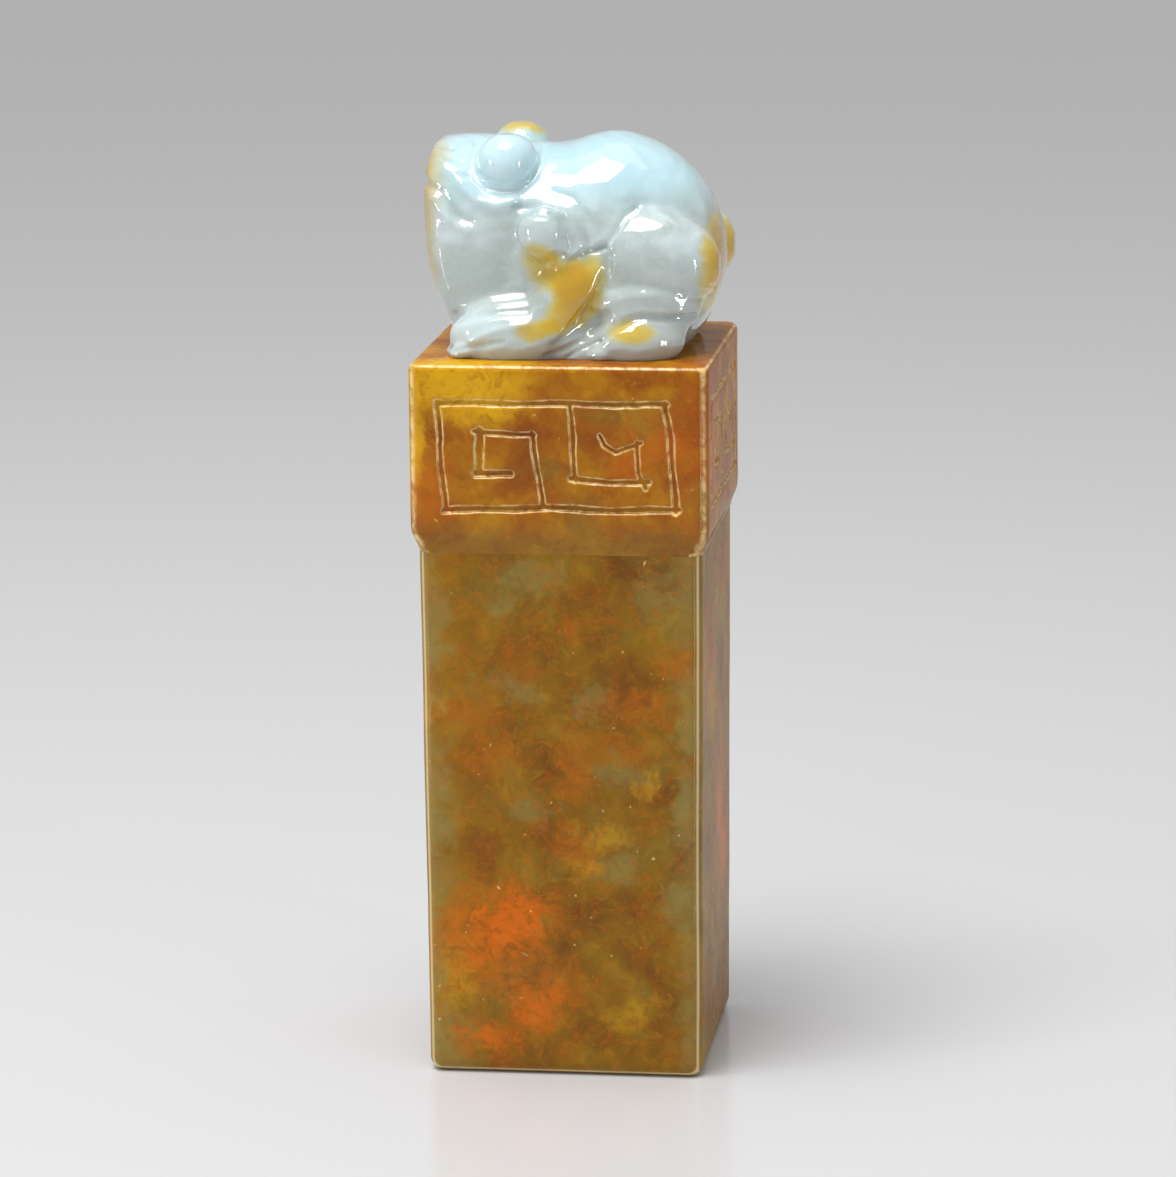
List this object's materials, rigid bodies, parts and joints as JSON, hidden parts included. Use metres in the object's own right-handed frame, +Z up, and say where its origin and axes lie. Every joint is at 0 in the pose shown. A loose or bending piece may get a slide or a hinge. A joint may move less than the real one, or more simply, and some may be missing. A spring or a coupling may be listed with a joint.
{
  "type": "seal stamp",
  "caption": "Square seal stamp of carved jade: plain shaft with a flat blank stamping face, proud collar with a key fret on each side, crouching frog knob.",
  "frame": {"origin": "middle of the flat stamping face, at the foot of the shaft", "axes": "+Z up from the stamping face to the frog; the frog looks along -X and its left flank faces -Y"},
  "size_m": [0.0183, 0.018, 0.0569],
  "materials": {
    "mottled_jade": "polished, mottled ochre, olive and grey",
    "russet_jade": "polished, deep orange brown skin",
    "pale_jade": "polished, translucent icy blue white with ochre patches"
  },
  "bodies": {
    "root": {"shaft": "mottled_jade", "collar": "russet_jade", "frog": "pale_jade"}
  },
  "joints": []
}
